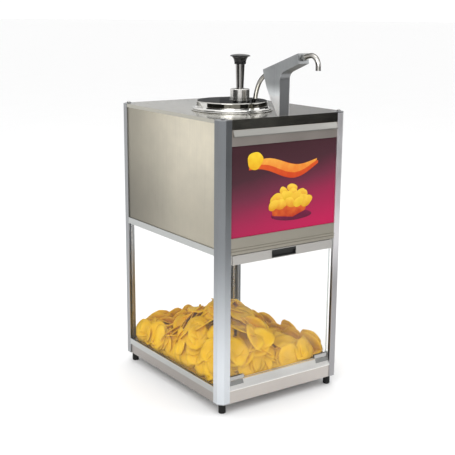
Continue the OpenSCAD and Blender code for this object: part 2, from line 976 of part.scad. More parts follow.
// Block with the two ball valves, joined to the foot of the discharge tube
module valve_body() {
    reach = [arm_x - pump_x, tube_y - pump_y];
    passage_z = seat_z + 6;
    color("#d0ccc4")
        difference() {
            union() {
                translate([pump_x, pump_y, valve_low])
                    cylinder(r = valve_r, h = cyl_low - valve_low + valve_socket);
                translate([pump_x, pump_y, valve_low])
                    rotate([0, 0, atan2(reach[1], reach[0])])
                        span([0, -boss_r + 1.5, 0], [norm(reach), boss_r - 1.5, cyl_low - valve_low]);
                translate([arm_x, tube_y, valve_low])
                    cylinder(r = boss_r, h = boss_top - valve_low);
            }
            translate([pump_x, pump_y, 0]) {
                translate([0, 0, cyl_low])
                    cylinder(r = bore_r + cyl_wall, h = valve_socket + past);
                translate([0, 0, valve_low - past])
                    cylinder(r = seat_r, h = cyl_low - valve_low + 2 * past);
                translate([0, 0, seat_z]) cylinder(r = ball_r + 1.5, h = 11);
            }
            translate([pump_x, pump_y, passage_z])
                rotate([0, 0, atan2(reach[1], reach[0])])
                    rotate([0, 90, 0]) cylinder(r = 3, h = norm(reach));
            translate([arm_x, tube_y, 0]) {
                translate([0, 0, passage_z - 1.5])
                    cylinder(r = out_seat_r, h = out_seat_z - passage_z + 1.5 + past);
                translate([0, 0, out_seat_z])
                    cylinder(r = out_ball_r + 1.5, h = out_top_z - out_seat_z);
                translate([0, 0, out_top_z])
                    cylinder(r = tube_r, h = boss_top - out_top_z + past);
            }
        }
}

// Six-sided gland nut where the tube leaves the lid
module tube_gland() {
    color("#cfcdc8")
        translate([arm_x, tube_y - 1.5, lid_top])
            difference() {
                cylinder(r = tube_r + 4, h = gland_lift, $fn = 6);
                translate([0, 0, -past]) cylinder(r = tube_r + 1.5, h = gland_lift + 2 * past);
            }
}

module discharge_tube() {
    turn = seam / bend2_r * 180 / PI;
    color("#d9d7d2") {
        translate([arm_x, tube_y, out_top_z])
            difference() {
                cylinder(r = tube_r, h = bend1_z - out_top_z);
                translate([0, 0, -past])
                    cylinder(r = tube_bore, h = bend1_z - out_top_z + 2 * past);
            }
        pipe_bend([tube_y, bend1_z], bend1_r, 0, bend1_a - turn, tube_r, tube_bore);
        pipe_weld(p1, bend1_a, tube_r, tube_bore);
        pipe_bend(p1, bend2_r, bend1_a, arm_a, tube_r, tube_bore);
        pipe_weld(p2, arm_a, tube_r, tube_bore);
        pipe(p2 + seam * arm_dir, tube_run - seam, arm_a, tube_r, tube_bore);
    }
}

// Arm outline, from the lower corner of its tip counter-clockwise. The inside corner under
// the arm is a fillet between the underside and the column's front.
arm_under = unit(arm_front_top - arm_tip_low);
arm_up = unit(arm_front_top - [arm_front, arm_base_z]);
arm_turn = acos(arm_up * -arm_under);
arm_tangent = arm_fillet * tan(arm_turn / 2);
arm_fillet_start = arm_front_top - arm_under * arm_tangent;
arm_fillet_c = arm_fillet_start + arm_fillet * [arm_under[1], -arm_under[0]];
arm_a0 = atan2(arm_fillet_start[1] - arm_fillet_c[1], arm_fillet_start[0] - arm_fillet_c[0]);
arm_fillet_points =
    arc_points(arm_fillet_c, arm_fillet, arm_a0, arm_a0 - arm_turn, arm_fillet_n);
arm_points = concat([arm_tip_low], arm_fillet_points, [[arm_front, arm_base_z]],
    arm_rear_points, [arm_tip_top]);
arm_inner = inset(arm_points, arm_t);
// Place of the foot of the column's front in the outline
arm_foot = arm_fillet_n + 2;

// The strip between the outline and its inset, along the underside and the column's front
arm_strip = concat(
    [for (i = [0:arm_foot]) arm_points[i]],
    [[arm_inner[arm_foot][0], arm_base_z]],
    [for (i = [arm_foot - 1:-1:0]) arm_inner[i]]);

// Folded shell: both cheeks, the top, the rear and the end, open below
module arm_shell() {
    entry = p2 + 14 * arm_dir;
    foot_low = arm_inner[arm_foot][0];
    foot_high = arm_inner[arm_foot + 1][0];
    color("#c4c6c8")
        difference() {
            translate([arm_x, 0, 0]) along_x(arm_w) polygon(arm_points);
            translate([arm_x, 0, 0])
                along_x(arm_w - 2 * arm_t) {
                    polygon(arm_inner);
                    polygon(arm_strip);
                    translate([foot_low, arm_base_z - past])
                        square([foot_high - foot_low, arm_t + 2 * past]);
                }
            straight(entry, 30, arm_a + 180, tube_r + 1.5);
            straight(p3 - 3 * arm_dir, 12, arm_a, tube_r + 0.6);
        }
}

module arm_front_plate() {
    color("#8d9093")
        translate([arm_x, 0, 0]) along_x(arm_w - 2 * arm_t) polygon(arm_strip);
}

// Nut that joins the spout to the discharge tube in front of the arm
module spout_nut() {
    start = p3 + 6 * arm_dir;
    color("#a5a39e")
        difference() {
            straight(start, 8, arm_a, spout_r + 2, 6);
            straight(start - past * arm_dir, 8 + 2 * past, arm_a, spout_r);
        }
}

module spout() {
    color("#d9d7d2") {
        pipe(p3, spout_lead - seam, arm_a, spout_r, spout_bore);
        pipe_weld(q1, arm_a, spout_r, spout_bore);
        pipe_bend(q1, lead_bend, arm_a, spout_a, spout_r, spout_bore);
        pipe_weld(q2, spout_a, spout_r, spout_bore);
        pipe(q2 + seam * spout_dir, spout_run - 2 * seam, spout_a, spout_r, spout_bore);
        pipe_weld(p4, spout_a, spout_r, spout_bore);
        pipe_bend(p4, spout_bend, spout_a, 180, spout_r, spout_bore);
        pipe_weld(p5, 180, spout_r, spout_bore);
        pipe(p5 - [0, seam], spout_drop - seam, 180, spout_r, spout_bore);
    }
}

// ---------------------------------------------------------------- plunger

// Flared knob with a scalloped lower edge and a low domed top
module knob() {
    waist = knob_r * 0.58;
    waist_h = 2;
    dome_h = 4;
    steps = 10;
    scallops = 8;
    flare_h = knob_h - dome_h - 1 - waist_h;
    flare = concat(
        [[0, 0], [waist, 0], [waist, waist_h]],
        [for (i = [1:steps]) let (a = 90 * i / steps)
            [waist + (knob_r - waist) * (1 - cos(a)), waist_h + flare_h * sin(a)]],
        [for (i = [0:steps]) let (a = 90 * i / steps)
            [knob_r * cos(a), knob_h - dome_h + dome_h * sin(a)]]);
    color("#161616")
        translate([pump_x, pump_y, knob_z])
            difference() {
                rotate_extrude() polygon(flare);
                for (i = [0:scallops - 1])
                    rotate([0, 0, 360 / scallops * i])
                        translate([waist + 2.4, 0, -past]) cylinder(r = 4, h = 5 + past, $fn = 32);
                translate([0, 0, -past]) cylinder(r = shaft_top_r, h = knob_socket + past);
                cylinder(r = plunger_rod_r, h = rod_top - knob_z);
            }
}

// Tube round the rod, straight below the collar and widening to the knob above it
module plunger_tube() {
    top = knob_z + knob_socket;
    color("#cfcdc8")
        translate([pump_x, pump_y, 0])
            rotate_extrude()
                polygon([
                    [plunger_rod_r, shaft_low], [shaft_r, shaft_low], [shaft_r, collar_top],
                    [shaft_top_r, knob_z], [shaft_top_r, top], [plunger_rod_r, top],
                ]);
}

module piston_rod() {
    color("gray")
        translate([pump_x, pump_y, piston_z])
            cylinder(r = plunger_rod_r, h = rod_top - piston_z);
}

module piston() {
    body_r = bore_r - 0.8;
    groove_r = bore_r - 3;
    groove_z = (piston_h - seal_w) / 2;
    color("#e6e2da")
        translate([pump_x, pump_y, piston_z])
            rotate_extrude()
                polygon([
                    [plunger_rod_r, 0], [body_r, 0], [body_r, groove_z], [groove_r, groove_z],
                    [groove_r, groove_z + seal_w], [body_r, groove_z + seal_w],
                    [body_r, piston_h], [plunger_rod_r, piston_h],
                ]);
}

module piston_seal() {
    groove_r = bore_r - 3;
    outer = bore_r - running;
    color("#303030")
        translate([pump_x, pump_y, piston_z + (piston_h - seal_w) / 2])
            rotate_extrude()
                polygon([
                    [groove_r, 0], [outer - 1, 0], [outer, 1],
                    [outer, seal_w - 1], [outer - 1, seal_w], [groove_r, seal_w],
                ]);
}

// Compression spring under the piston, with its end turns closed up
spring_low = cyl_low + 0.3 + spring_wire;
spring_high = piston_z - 0.3 - spring_wire;
spring_steps = 20;
spring_sides = 8;

function spring_ease(t) = t - sin(360 * t) / 360 * 40;

function spring_point(i) =
    let (t = i / (spring_turns * spring_steps), a = 360 * i / spring_steps)
        [spring_r * cos(a), spring_r * sin(a), spring_low + (spring_high - spring_low) * spring_ease(t)];

function spring_ring(i) =
    let (a = 360 * i / spring_steps, c = spring_point(i))
        [for (k = [0:spring_sides - 1])
            c + spring_wire * (cos(360 * k / spring_sides) * [cos(a), sin(a), 0]
                + sin(360 * k / spring_sides) * [0, 0, 1])];

module return_spring() {
    rings = spring_turns * spring_steps;
    n = spring_sides;
    points = [for (i = [0:rings]) each spring_ring(i)];
    sides = [for (i = [0:rings - 1]) for (k = [0:n - 1])
        [i * n + k, i * n + (k + 1) % n, (i + 1) * n + (k + 1) % n, (i + 1) * n + k]];
    color("#b0aea8")
        translate([pump_x, pump_y, 0])
            polyhedron(concat(points), concat(
                [[for (k = [n - 1:-1:0]) k]], sides, [[for (k = [0:n - 1]) rings * n + k]]));
}

module inlet_ball() {
    color("#c8c8c8")
        translate([pump_x, pump_y, seat_z + sqrt(ball_r * ball_r - seat_r * seat_r) + seat_gap])
            sphere(r = ball_r);
}

module outlet_ball() {
    color("#c8c8c8")
        translate([arm_x, tube_y,
            out_seat_z + sqrt(out_ball_r * out_ball_r - out_seat_r * out_seat_r) + seat_gap])
            sphere(r = out_ball_r);
}

// ---------------------------------------------------------------- rear controls

module thermostat_body() {
    bush_r = 5;
    deep = 24;
    color("#3a3a3a")
        translate([dial_x, 0, ctl_z])
            difference() {
                union() {
                    span([-18, rear_in - gap - deep, -16], [18, rear_in - gap, 16]);
                    bar_y(bush_r, rear_in - gap - past, rear_face + 1.4);
                }
                bar_y(3 + running, rear_in - 15, rear_face + 1.4 + past);
            }
}

module thermostat_shaft() {
    color("#c9a860")
        translate([dial_x, 0, ctl_z]) bar_y(3, rear_in - 14, dial_back - 7);
}

// Dial with a skirt, a round grip and a raised pointer bar
module thermostat_knob() {
    start = rear_face + 2;
    skirt = 3;
    grip_r = dial_r * 0.78;
    color("#1c1c1c")
        translate([dial_x, 0, ctl_z])
            difference() {
                union() {
                    bar_y(dial_r, start, start + skirt);
                    bar_y(grip_r, start + skirt, dial_back - 2.5);
                    span([-2.2, start + skirt, -grip_r], [2.2, dial_back, grip_r]);
                }
                bar_y(3, start - past, dial_back - 7);
            }
}

module switch_housing() {
    color("#222222")
        translate([switch_x, 0, ctl_z])
            difference() {
                union() {
                    span([-11.5, rear_face, -15.5], [11.5, rear_face + 2, 15.5]);
                    span([-9.5, rear_face - 24, -13.5], [9.5, rear_face, 13.5]);
                }
                span([-7.5, rear_face - 14, -11.6], [7.5, rear_face + 2 + past, 11.6]);
                translate([-9.5 - past, rocker_y, 0])
                    rotate([0, 90, 0]) cylinder(r = 1.5 + running, h = 19 + 2 * past);
            }
}

// Rocker with its two trunnions, tipped to the off side
module switch_rocker() {
    color("#b02020")
        translate([switch_x, rocker_y, ctl_z])
            rotate([-rocker_rest, 0, 0]) {
                along_x(14.4)
                    polygon([[-4, -6], [4.5, -10.4], [7.6, -10.4], [6, 0], [7.6, 10.4],
                        [4.5, 10.4], [-4, 6]]);
                rotate([0, 90, 0]) cylinder(r = 1.5, h = 18.8, center = true);
            }
}

module pilot_light() {
    color("#e06a20")
        translate([pilot_x, 0, ctl_z]) {
            bar_y(5, rear_in - 16, rear_face);
            bar_y(6.5, rear_face, rear_face + 1.5);
            translate([0, rear_face + 1.5, 0])
                rotate([-90, 0, 0])
                    rotate_extrude()
                        polygon(concat([[0, 0]], arc_points([0, 0], 1, 0, 90, 10)
                            * [[5, 0], [0, 3.5]]));
        }
}

// Strain-relief gland with its lock nut inside the rear panel
module cord_gland() {
    thread = 8;
    color("#1c1c1c")
        translate([gland_x, 0, gland_z]) {
            difference() {
                union() {
                    bar_y(13, rear_face, rear_face + 5, 6);
                    bar_y(10, rear_face + 5, rear_face + 15);
                    bar_y(thread, rear_in - 12, rear_face);
                }
                bar_y(gland_r, rear_in - 12 - past, rear_face + 15 + past);
            }
            difference() {
                bar_y(12.5, rear_in - 6, rear_in, 6);
                bar_y(thread, rear_in - 6 - past, rear_in + past);
            }
        }
}

// ---------------------------------------------------------------- assembly

placed() post_front_left();
placed() post_front_right();
placed() post_rear_left();
placed() post_rear_right();
placed() post_caps();
placed() cap_nuts();
placed() tie_rods();
placed() feet();
placed() base_pan();
placed() front_ledge();
placed() low_side_rails();
placed() low_rail_rear();
placed() mid_side_rails();
placed() mid_rail_rear();
placed() sign_bottom_rail();
placed() sign_top_rail();
placed() sign_panel();
placed() clear_side_panels();
placed() clear_panel_rear();
placed() side_panel_left();
placed() side_panel_right();
placed() rear_panel();
placed() top_cover();
placed() shelf_pan();
placed() door_catches();
placed() hinge_brackets();
placed() lampholder();
placed() sign_lamp();
placed() well_vessel();
placed() well_heater();
placed() food_jar();
placed() thermostat_body();
placed() switch_housing();
placed() pilot_light();
placed() cord_gland();
placed() door_panel();
placed() door_top_rail();
placed() door_pull();
placed() door_shoes();
placed() pump_lid();
placed() pump_cylinder();
placed() lock_collar();
placed() valve_body();
placed() tube_gland();
placed() discharge_tube();
placed() arm_shell();
placed() arm_front_plate();
placed() spout_nut();
placed() spout();
placed() knob();
placed() plunger_tube();
placed() piston_rod();
placed() piston();
placed() piston_seal();
placed() return_spring();
placed() inlet_ball();
placed() outlet_ball();
placed() thermostat_shaft();
placed() thermostat_knob();
placed() switch_rocker();
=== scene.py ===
# Looks for the counter-top pump dispenser: materials on the CAD nodes, the printed sign's art,
# the chips in the bin, studio floor, lights and camera. Metres, in the CAD frame.
import json
import math
import random

import bmesh
import bpy
from mathutils import Matrix, Vector, noise

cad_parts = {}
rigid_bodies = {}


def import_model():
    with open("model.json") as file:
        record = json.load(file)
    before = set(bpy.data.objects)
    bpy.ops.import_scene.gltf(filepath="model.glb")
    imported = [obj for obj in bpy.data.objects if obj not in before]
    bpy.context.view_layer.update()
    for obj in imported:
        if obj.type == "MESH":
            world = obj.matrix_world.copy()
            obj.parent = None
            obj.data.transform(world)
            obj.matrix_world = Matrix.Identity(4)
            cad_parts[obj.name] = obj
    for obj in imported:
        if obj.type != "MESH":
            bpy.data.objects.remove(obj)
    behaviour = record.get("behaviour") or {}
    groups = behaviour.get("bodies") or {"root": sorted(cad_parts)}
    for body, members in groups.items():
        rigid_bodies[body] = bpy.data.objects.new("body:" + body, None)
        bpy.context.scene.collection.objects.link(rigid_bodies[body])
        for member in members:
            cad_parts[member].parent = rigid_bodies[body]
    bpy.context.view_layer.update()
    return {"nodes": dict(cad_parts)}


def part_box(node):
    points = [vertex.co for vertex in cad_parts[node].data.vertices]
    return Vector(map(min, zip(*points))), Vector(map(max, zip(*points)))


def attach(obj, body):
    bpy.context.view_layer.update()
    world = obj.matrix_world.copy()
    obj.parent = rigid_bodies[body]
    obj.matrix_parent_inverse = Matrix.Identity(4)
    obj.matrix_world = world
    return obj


for o in list(bpy.data.objects):
    bpy.data.objects.remove(o)

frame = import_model()
nodes = frame["nodes"]
scene = bpy.context.scene
scene.view_settings.view_transform = "Standard"


# ---------------------------------------------------------------- node helpers
def new_material(name):
    m = bpy.data.materials.new(name)
    m.use_nodes = True
    nt = m.node_tree
    nt.nodes.clear()
    out = nt.nodes.new("ShaderNodeOutputMaterial")
    bsdf = nt.nodes.new("ShaderNodeBsdfPrincipled")
    nt.links.new(bsdf.outputs[0], out.inputs[0])
    return m, nt, bsdf


def add(nt, kind, inputs=None, **props):
    """A new node; inputs are sockets to link or values to set."""
    n = nt.nodes.new(kind)
    for k, v in props.items():
        setattr(n, k, v)
    for k, v in (inputs or {}).items():
        if isinstance(v, bpy.types.NodeSocket):
            nt.links.new(v, n.inputs[k])
        else:
            n.inputs[k].default_value = v
    return n


def place(nt):
    """The x, y and z of a point in the object's own coordinates."""
    tc = add(nt, "ShaderNodeTexCoord")
    return add(nt, "ShaderNodeSeparateXYZ", {"Vector": tc.outputs["Object"]}).outputs


def coords(nt, scale=(1, 1, 1)):
    tc = add(nt, "ShaderNodeTexCoord")
    return add(nt, "ShaderNodeMapping", {"Vector": tc.outputs["Object"], "Scale": scale}).outputs[0]


def noise_tex(nt, vec, scale, detail=3.0, rough=0.5):
    return add(
        nt, "ShaderNodeTexNoise", {"Vector": vec, "Scale": scale, "Detail": detail, "Roughness": rough}
    ).outputs[0]


def ramp(nt, fac, stops):
    """A colour ramp through stops of (place, colour)."""
    r = add(nt, "ShaderNodeValToRGB", {"Fac": fac})
    el = r.color_ramp.elements
    while len(el) < len(stops):
        el.new(0.5)
    for e, (pos, col) in zip(el, stops):
        e.position = pos
        e.color = (*col, 1)
    return r.outputs[0]


def mix_color(nt, fac, a, b, blend="MIX"):
    n = nt.nodes.new("ShaderNodeMix")
    n.data_type = "RGBA"
    n.blend_type = blend
    for sock, v in ((n.inputs[0], fac), (n.inputs[6], a), (n.inputs[7], b)):
        if isinstance(v, bpy.types.NodeSocket):
            nt.links.new(v, sock)
        elif isinstance(v, (tuple, list)):
            sock.default_value = (*v[:3], 1)
        else:
            sock.default_value = v
    return n.outputs[2]


def math_node(nt, op, a, b=None, clamp=False):
    n = nt.nodes.new("ShaderNodeMath")
    n.operation = op
    n.use_clamp = clamp
    for i, v in enumerate((a, b)):
        if v is None:
            continue
        if isinstance(v, bpy.types.NodeSocket):
            nt.links.new(v, n.inputs[i])
        else:
            n.inputs[i].default_value = v
    return n.outputs[0]


def scale_range(nt, value, lo, hi, from_lo=0.0, from_hi=1.0):
    return add(
        nt,
        "ShaderNodeMapRange",
        {"Value": value, "From Min": from_lo, "From Max": from_hi, "To Min": lo, "To Max": hi},
    ).outputs[0]


def bump(nt, height, strength, distance):
    return add(
        nt, "ShaderNodeBump", {"Height": height, "Strength": strength, "Distance": distance}
    ).outputs[0]


def tint(c, k):
    return tuple(min(1.0, v * k) for v in c)


def mesh_object(name, bm, material, smooth=False):
    """A linked object made from bm, with one material."""
    me = bpy.data.meshes.new(name)
    bm.to_mesh(me)
    bm.free()
    if smooth:
        me.polygons.foreach_set("use_smooth", [True] * len(me.polygons))
    me.materials.append(material)
    ob = bpy.data.objects.new(name, me)
    scene.collection.objects.link(ob)
    return ob


# ---------------------------------------------------------------- materials
# Stretch of the grain for each direction it runs in: many lines across, few along
GRAIN = {
    "x": (6, 900, 900),
    "y": (900, 6, 900),
    "z": (900, 900, 6),
    "ring": (4, 4, 1100),
    None: (160, 160, 160),
}
WHITE = (1, 1, 1)
# Specular tint that paints a glancing reflection dark: a painted dark reflection
GLANCE_PAINTED_DARK = (0.02, 0.02, 0.02)


def inside(nt, limits):
    """1 where the object coordinates keep to every limit (axis, "LESS_THAN" or "GREATER_THAN", value)."""
    xyz = place(nt)
    out = None
    for axis, op, value in limits:
        one = math_node(nt, op, xyz[axis], value)
        out = one if out is None else math_node(nt, "MULTIPLY", out, one)
    return out


def metal(name, color, rough, grain, depth, spread=0.06, smudge=0.05, patch=None, painted_light_fades=()):
    """Brushed or drawn metal: fine grain along one axis, with soft smudges and random tone changes.
    patch is (colour, limits), a tone painted over part of the surface as painted light and shade; fades are
    (factor, axis, from, to), slow changes of tone that are painted light and shade."""
    m, nt, b = new_material(name)
    fine = noise_tex(nt, coords(nt, GRAIN[grain]), 1.0, 4.0, 0.6)
    broad = noise_tex(nt, coords(nt, tuple(0.02 * s + 2 for s in GRAIN[grain])), 1.0, 3.0)
    stain = noise_tex(nt, coords(nt), 9.0, 5.0, 0.6)
    tone = mix_color(nt, fine, tint(color, 1 - spread), tint(color, 1 + spread))
    tone = mix_color(nt, math_node(nt, "MULTIPLY", broad, 0.5), tone, tint(color, 1 + spread))
    cloud = scale_range(nt, stain, 1 - spread * 0.5, 1 + spread * 0.5, 0.35, 0.65)
    tone = mix_color(nt, 1.0, tone, cloud, "MULTIPLY")
    # Slow changes of tone along an axis: painted light and shade
    for factor, axis, start, end in painted_light_fades:
        way = add(nt, "ShaderNodeMapRange", {"Value": place(nt)[axis], "From Min": start, "From Max": end})
        way.interpolation_type = "SMOOTHSTEP"
        tone = mix_color(nt, 1.0, tone, mix_color(nt, way.outputs[0], WHITE, (factor,) * 3), "MULTIPLY")
    # A tone painted over part of the surface: painted light and shade
    if patch:
        patch_color, limits = patch
        dark = mix_color(nt, fine, tint(patch_color, 1 - spread), tint(patch_color, 1 + spread))
        tone = mix_color(nt, inside(nt, limits), tone, dark)
    nt.links.new(tone, b.inputs["Base Color"])
    b.inputs["Metallic"].default_value = 1.0
    r = scale_range(nt, stain, rough - smudge, rough + smudge, 0.3, 0.7)
    r = math_node(nt, "ADD", r, scale_range(nt, fine, -0.04, 0.04, 0.3, 0.7), clamp=True)
    nt.links.new(r, b.inputs["Roughness"])
    nt.links.new(bump(nt, fine, depth, 0.0002), b.inputs["Normal"])
    return m


def polished(name, color, rough=0.06, rim=None, patches=(), painted_dark_glance=None):
    """Polished stainless: faint haze, very fine rings of wear. rim is a painted dark reflection, the colour
    where the surface turns away from the view; patches are (colour, limits), painted reflections and
    highlights; dull limits the part whose glancing reflection is painted dark instead of bright."""
    m, nt, b = new_material(name)
    haze = noise_tex(nt, coords(nt), 26.0, 4.0, 0.55)
    fine = noise_tex(nt, coords(nt, (500, 500, 60)), 1.0, 2.0)
    tone = mix_color(nt, haze, tint(color, 0.94), color)
    # The rim colour is a painted dark reflection, mixed in where the surface turns away from the view
    if rim:
        turned = add(nt, "ShaderNodeLayerWeight", {"Blend": 0.5}).outputs["Facing"]
        tone = mix_color(nt, scale_range(nt, turned, 0.0, 1.0, 0.14, 0.50), tone, rim)
    for patch_color, limits in patches:
        tone = mix_color(nt, inside(nt, limits), tone, patch_color)
    nt.links.new(tone, b.inputs["Base Color"])
    if painted_dark_glance:
        nt.links.new(mix_color(nt, inside(nt, painted_dark_glance), WHITE, GLANCE_PAINTED_DARK), b.inputs["Specular Tint"])
    b.inputs["Metallic"].default_value = 1.0
    nt.links.new(scale_range(nt, haze, rough * 0.6, rough * 1.9, 0.3, 0.75), b.inputs["Roughness"])
    nt.links.new(bump(nt, fine, 0.05, 0.0001), b.inputs["Normal"])
    return m


def plastic(name, color, rough, grain_scale, depth, coat=0.0, spread=0.15, specular=0.4):
    """Moulded plastic or rubber: fine pebble grain and slight tone changes."""
    m, nt, b = new_material(name)
    cell = noise_tex(nt, coords(nt), grain_scale, 2.0)
    soft = noise_tex(nt, coords(nt), 40.0, 4.0)
    tone = mix_color(nt, soft, tint(color, 1 - spread), tint(color, 1 + spread))
    nt.links.new(tone, b.inputs["Base Color"])
    nt.links.new(scale_range(nt, soft, rough - 0.06, rough + 0.06, 0.3, 0.7), b.inputs["Roughness"])
    nt.links.new(bump(nt, cell, depth, 0.0001), b.inputs["Normal"])
    b.inputs["Coat Weight"].default_value = coat
    b.inputs["Coat Roughness"].default_value = 0.08
    b.inputs["Specular IOR Level"].default_value = specular
    return m


def clear_sheet(name, thin_axis, face_alpha, edge_alpha=0.85):
    """Clear sheet: the faces are nearly unseen, the sawn edges are darker and more solid."""
    m, nt, b = new_material(name)
    tc = add(nt, "ShaderNodeTexCoord")
    sep = add(nt, "ShaderNodeSeparateXYZ", {"Vector": tc.outputs["Normal"]})
    facing = math_node(nt, "ABSOLUTE", sep.outputs[thin_axis])
    is_face = math_node(nt, "GREATER_THAN", facing, 0.7)
    dust = noise_tex(nt, coords(nt), 14.0, 5.0, 0.6)
    face = scale_range(nt, dust, face_alpha * 0.5, face_alpha * 1.4, 0.3, 0.7)
    alpha = add(nt, "ShaderNodeMix", data_type="FLOAT")
    nt.links.new(is_face, alpha.inputs[0])
    alpha.inputs[2].default_value = edge_alpha
    nt.links.new(face, alpha.inputs[3])
    nt.links.new(alpha.outputs[0], b.inputs["Alpha"])
    face_tone = mix_color(nt, dust, (0.82, 0.86, 0.86), (0.94, 0.97, 0.97))
    edge_tone = mix_color(nt, dust, (0.34, 0.41, 0.41), (0.50, 0.57, 0.57))
    nt.links.new(mix_color(nt, is_face, edge_tone, face_tone), b.inputs["Base Color"])
    nt.links.new(scale_range(nt, dust, 0.02, 0.07, 0.3, 0.7), b.inputs["Roughness"])
    b.inputs["IOR"].default_value = 1.49
    return m


def sign_print(name, lo, hi):
    """Printed sheet: dusky purple at the top through plum to magenta at the bottom."""
    m, nt, b = new_material(name)
    xyz = place(nt)
    up = scale_range(nt, xyz[2], 0, 1, lo.z, hi.z)
    across = scale_range(nt, xyz[0], 0.15, -0.12, lo.x, hi.x)
    cloud = noise_tex(nt, coords(nt, (5, 5, 9)), 1.0, 3.0)
    t = math_node(nt, "ADD", up, across)
    t = math_node(nt, "ADD", t, scale_range(nt, cloud, -0.05, 0.05, 0.3, 0.7), clamp=True)
    col = ramp(
        nt,
        t,
        [
            (0.0, (0.41, 0.008, 0.068)),
            (0.28, (0.27, 0.014, 0.058)),
            (0.52, (0.110, 0.021, 0.042)),
            (0.72, (0.026, 0.018, 0.022)),
            (1.0, (0.010, 0.013, 0.013)),
        ],
    )
    dots = noise_tex(nt, coords(nt), 2600.0, 1.0)
    col = mix_color(nt, math_node(nt, "MULTIPLY", dots, 0.12), col, (0.60, 0.08, 0.16))
    nt.links.new(col, b.inputs["Base Color"])
    b.inputs["Roughness"].default_value = 0.34
    b.inputs["Specular IOR Level"].default_value = 0.10
    return m


def print_ink(name, low, high, z0, z1):
    """Printed art: one colour runs into another from bottom to top, with a fine halftone."""
    m, nt, b = new_material(name)
    t = scale_range(nt, place(nt)[2], 0, 1, z0, z1)
    cloud = noise_tex(nt, coords(nt), 60.0, 4.0)
    t = math_node(nt, "ADD", t, scale_range(nt, cloud, -0.25, 0.25, 0.3, 0.7), clamp=True)
    nt.links.new(mix_color(nt, t, low, high), b.inputs["Base Color"])
    b.inputs["Roughness"].default_value = 0.3
    b.inputs["Specular IOR Level"].default_value = 0.2
    return m


def chip_material(name, color):
    """Fried corn chip: golden, blistered, with toasted spots and fine paler flecks."""
    m, nt, b = new_material(name)
    vec = coords(nt)
    big = noise_tex(nt, vec, 26.0, 3.0)
    spots = noise_tex(nt, vec, 240.0, 4.0, 0.65)
    grain = noise_tex(nt, vec, 1500.0, 2.0)
    warm = (color[0] * 1.10, color[1] * 1.22, color[2] * 1.9)
    base = ramp(nt, big, [(0.32, tint(color, 0.84)), (0.50, color), (0.70, warm)])
    toast = scale_range(nt, spots, 0.0, 0.55, 0.58, 0.82)
    col = mix_color(nt, toast, base, (color[0] * 0.70, color[1] * 0.55, color[2] * 0.6))
    pale = scale_range(nt, grain, 0.0, 0.18, 0.55, 0.85)
    col = mix_color(nt, pale, col, (0.86, 0.52, 0.03))
    nt.links.new(col, b.inputs["Base Color"])
    b.inputs["Roughness"].default_value = 0.66
    b.inputs["Specular IOR Level"].default_value = 0.12
    lumps = math_node(nt, "ADD", spots, math_node(nt, "MULTIPLY", grain, 0.35))
    nt.links.new(bump(nt, lumps, 0.35, 0.0006), b.inputs["Normal"])
    return m


def frosted(name, color, alpha=0.5):
    """Frosted glass with slight clouds."""
    m, nt, b = new_material(name)
    soft = noise_tex(nt, coords(nt), 60.0, 3.0)
    nt.links.new(mix_color(nt, soft, tint(color, 0.92), color), b.inputs["Base Color"])
    b.inputs["Roughness"].default_value = 0.35
    b.inputs["Alpha"].default_value = alpha
    return m


post_lo, post_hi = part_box("post_front_left")
cover_lo, cover_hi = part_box("top_cover")
arm_lo, arm_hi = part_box("arm_shell")
side_lo, side_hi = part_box("side_panel_left")
lid_lo, lid_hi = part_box("pump_lid")
# Painted light and shade on front faces, back to these depths: the front of the pan's skirt is painted
# lighter than the rest of the pan, the front of the bright hood over the sign darker and greyer than the
# rest of the hood
SKIRT_DEPTH, HOOD_DEPTH = 0.0008, 0.0052
PAN_FRONT_PAINTED_LIGHT = [(1, "LESS_THAN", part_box("base_pan")[0].y + SKIRT_DEPTH)]
HOOD_FRONT_PAINTED_SHADE = [(1, "LESS_THAN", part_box("sign_top_rail")[0].y + HOOD_DEPTH)]
# Painted light and shade, slow changes of tone: (factor, axis, from, to)
# the front-left post painted much lighter towards the bottom
NEAR_POST_PAINTED_LIGHT = [(3.1, 2, post_hi.z - 0.25, post_lo.z + 0.05)]
# the front-right post painted darker lower down
RIGHT_POST_PAINTED_SHADE = [(0.36, 2, post_hi.z - 0.24, post_hi.z - 0.42)]
# the side and rear panels painted darker towards the rear and towards the bottom
PANEL_PAINTED_SHADE = [(0.46, 1, cover_lo.y + 0.12, cover_hi.y - 0.02), (0.58, 2, side_hi.z - 0.03, side_lo.z + 0.03)]
# the top cover painted darker away from its left edge
COVER_PAINTED_SHADE = [(0.66, 0, cover_lo.x + 0.05, cover_lo.x + 0.20)]
# the arm painted much lighter towards its foot
ARM_PAINTED_LIGHT = [(4.4, 2, arm_hi.z - 0.065, arm_lo.z + 0.02)]
